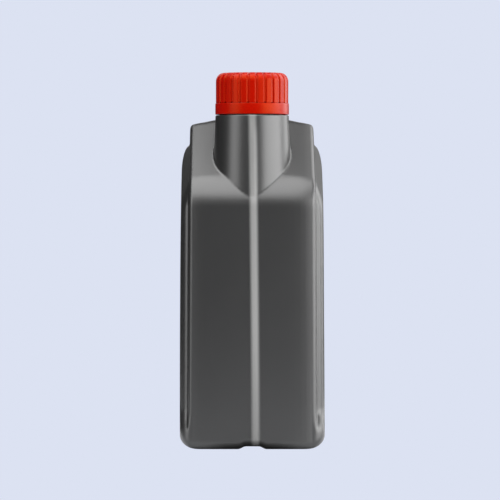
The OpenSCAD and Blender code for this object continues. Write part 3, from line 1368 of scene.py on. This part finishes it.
@dataclass
class TamperBand:
    """The smooth ring that stays on the neck, in millimetres."""

    neck: Neck
    plastic: bpy.types.Material
    foot_z: float = 266.7
    height: float = 8.87
    radius: float = 29.45
    wall: float = 1.7
    edge: float = 0.5
    edge_step: int = 15
    rim: float = 0.2
    lip_r: float = 25.4
    lip_h: float = 2.0
    lip_edge: float = 0.3
    lip_share: float = 0.7
    lip_rise: float = 0.4
    spin: int = 240
    sharp: float = 50.0

    def profile(self) -> list[Point]:
        """Closed section of the ring.

        Returns:
            Points as radius and height: outside up with rounded edges, and down the inside to the snap lip.
        """
        foot = self.foot_z
        top = foot + self.height
        edge = self.edge
        lip_z = foot + self.lip_h
        inner = self.radius - self.wall
        size = (edge, edge)
        points = [(self.lip_r + self.lip_edge, foot), (self.radius - edge, foot)]
        below = angles(self.edge_step - 90, 0, self.edge_step)
        above = angles(0, 90, self.edge_step)
        points += arc((self.radius - edge, foot + edge), size, below)
        points += arc((self.radius - edge, top - edge), size, above)
        points += [
            (inner + self.rim, top),
            (inner, top - self.rim),
            (inner, lip_z + self.lip_rise),
            (self.lip_r + self.lip_edge, lip_z),
            (self.lip_r, foot + self.lip_h * self.lip_share),
            (self.lip_r, foot + self.lip_edge),
        ]
        return points

    def build(self) -> bpy.types.Object:
        """Spin the ring and dress it.

        Returns:
            The ring's piece.
        """
        bm = bmesh.new()
        spun(bm, self.profile(), self.neck.axis_y, self.spin, True)
        piece = new_piece("snap_ring", bm, self.sharp)
        piece.data.materials.append(self.plastic)
        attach(piece, Body.JUG.value)
        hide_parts("tamper_band")
        log.info("snap_ring: %d faces", len(piece.data.polygons))
        return piece


@dataclass
class CapLiner:
    """The sealing wad in the cap, whose solid is kept."""

    foam: bpy.types.Material

    def build(self) -> bpy.types.Object:
        """Dress the liner's solid.

        Returns:
            The liner's node.
        """
        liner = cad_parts["cap_liner"]
        liner.data.materials.clear()
        liner.data.materials.append(self.foam)
        log.info("cap_liner: kept from the solids")
        return liner


@dataclass(frozen=True)
class Light:
    """One softbox: its place round the jug, its size in metres and its power in watts."""

    place: Softbox
    azimuth: float
    elevation: float
    distance: float
    width: float
    height: float
    power: float
    target: Triple = (0.0, -0.05, 0.16)

    def build(self) -> bpy.types.Object:
        """Hang the softbox and aim it at the jug.

        Returns:
            The light's object.
        """
        data = bpy.data.lights.new(self.place.value, "AREA")
        data.shape = "RECTANGLE"
        data.size = self.width
        data.size_y = self.height
        data.energy = self.power
        lamp = bpy.data.objects.new(self.place.value, data)
        a = math.radians(self.azimuth)
        e = math.radians(self.elevation)
        out = Vector((math.sin(a) * math.cos(e), -math.cos(a) * math.cos(e), math.sin(e)))
        lamp.location = Vector(self.target) + out * self.distance
        lamp.rotation_euler = out.to_track_quat("Z", "Y").to_euler()
        bpy.context.scene.collection.objects.link(lamp)
        return lamp


@dataclass
class Studio:
    """Pale surround, floor, softboxes and the camera, in millimetres, apart from the lights."""

    plane_y: float
    # Surround and floor: pale to the camera, and to the light dim far away and dim near the foot, where a
    # contact shadow is painted
    pale: Triple = (0.7157, 0.7605, 0.8880)
    ambient: float = 0.03
    paper: Triple = (0.60, 0.61, 0.63)
    # Dim tone: the painted contact shadow near the foot, and the floor far away
    dim: Triple = (0.07, 0.07, 0.07)
    paper_edge: float = 600.0
    paper_fade: float = 300.0
    # Oval round the foot, out to foot_edge, in which the floor's contact shadow is painted
    shadow_oval: float = 1.7
    foot_edge: float = 113.0
    shadow_fade: float = 14.0
    floor_r: float = 6000.0
    floor_sides: int = 96
    lights: tuple[Light, ...] = (
        Light(Softbox.RIGHT, 66.0, 6.0, 1.6, 2.1, 1.5, 105.0),
        Light(Softbox.LEFT, -55.0, 6.0, 1.7, 0.9, 1.5, 24.0),
        Light(Softbox.TOP, -24.0, 64.0, 1.7, 2.6, 2.2, 140.0),
        Light(Softbox.RIM, 125.0, 28.0, 1.8, 1.05, 2.6, 40.0),
        Light(Softbox.BACK, 180.0, 25.0, 2.4, 2.0, 1.4, 8.0),
    )
    # Camera
    distance: float = 4500.0
    azimuth: float = -0.4
    look_x: float = -1.68
    look_z: float = 158.4
    pixel: float = 0.8
    pixels: int = 500
    sensor: float = 36.0
    reach: float = 100000.0

    def surround(self) -> None:
        """Give the world the pale tone for the camera and a dim one for light."""
        c = Canvas(bpy.data.worlds.new("studio"))
        ambient = (self.ambient, self.ambient, self.ambient, 1.0)
        dim = c.node("ShaderNodeBackground", {}, {"Color": ambient})
        pale = c.node("ShaderNodeBackground", {}, {"Color": (*self.pale, 1.0)})
        c.close(c.seen_as(dim, pale), "ShaderNodeOutputWorld")
        bpy.context.scene.world = c.owner
        bpy.context.scene.view_settings.view_transform = "Standard"

    def floor(self) -> bpy.types.Object:
        """Lay a round pale floor that the camera sees as the surround's tone.

        Returns:
            The floor's object.
        """
        bm = bmesh.new()
        bmesh.ops.create_circle(bm, cap_ends=True, segments=self.floor_sides, radius=self.floor_r)
        floor = new_piece("floor", bm)
        c = Canvas(bpy.data.materials.new("floor_paper"))
        x, y, _ = c.axes()
        # Painted contact shadow: inside an oval round the foot the floor takes the dim tone, seen only in
        # reflections and bounce light
        oval = ((x * self.shadow_oval) ** 2.0 + y * y) ** 0.5
        near = 1.0 - oval.above(self.foot_edge * MM, self.shadow_fade * MM)
        far = oval.above(self.paper_edge * MM, self.paper_fade * MM)
        tone = c.blend((near + far).clamp(), self.paper, self.dim)
        matt = c.node("ShaderNodeBsdfDiffuse", {}, {"Color": tone})
        glow = c.node("ShaderNodeEmission", {}, {"Color": (*self.pale, 1.0), "Strength": 1.0})
        c.close(c.seen_as(matt, glow))
        floor.data.materials.append(c.owner)
        return floor

    def camera(self) -> bpy.types.Object:
        """Set the camera at the photograph's viewing angle.

        Returns:
            The camera's object.
        """
        data = bpy.data.cameras.new("camera")
        data.sensor_width = self.sensor
        data.lens = self.sensor * self.distance / (self.pixels * self.pixel)
        data.clip_end = self.reach * MM
        camera = bpy.data.objects.new("camera", data)
        a = math.radians(self.azimuth)
        back = Vector((math.sin(a), -math.cos(a), 0.0))
        target = Vector((self.look_x, self.plane_y, self.look_z))
        camera.location = (target + back * self.distance) * MM
        camera.rotation_euler = back.to_track_quat("Z", "Y").to_euler()
        bpy.context.scene.collection.objects.link(camera)
        bpy.context.scene.camera = camera
        return camera

    def build(self) -> None:
        """Set up camera, surround, floor and lights."""
        self.camera()
        self.surround()
        self.floor()
        for light in self.lights:
            light.build()
        log.info("studio: %d softboxes", len(self.lights))


def main() -> None:
    """Build the studio and every piece in order."""
    logging.basicConfig(level=logging.INFO, format="%(message)s")
    neck = Neck()
    level = LevelStrip(neck.collar_z)
    Studio(neck.axis_y).build()
    red = CapPlastic().make()
    JugBody(neck, level, SatinPlastic(level).make()).build()
    ScrewCap(neck, red).build()
    TamperBand(neck, red).build()
    CapLiner(FoamWad().make()).build()


if __name__ == "__main__":
    main()
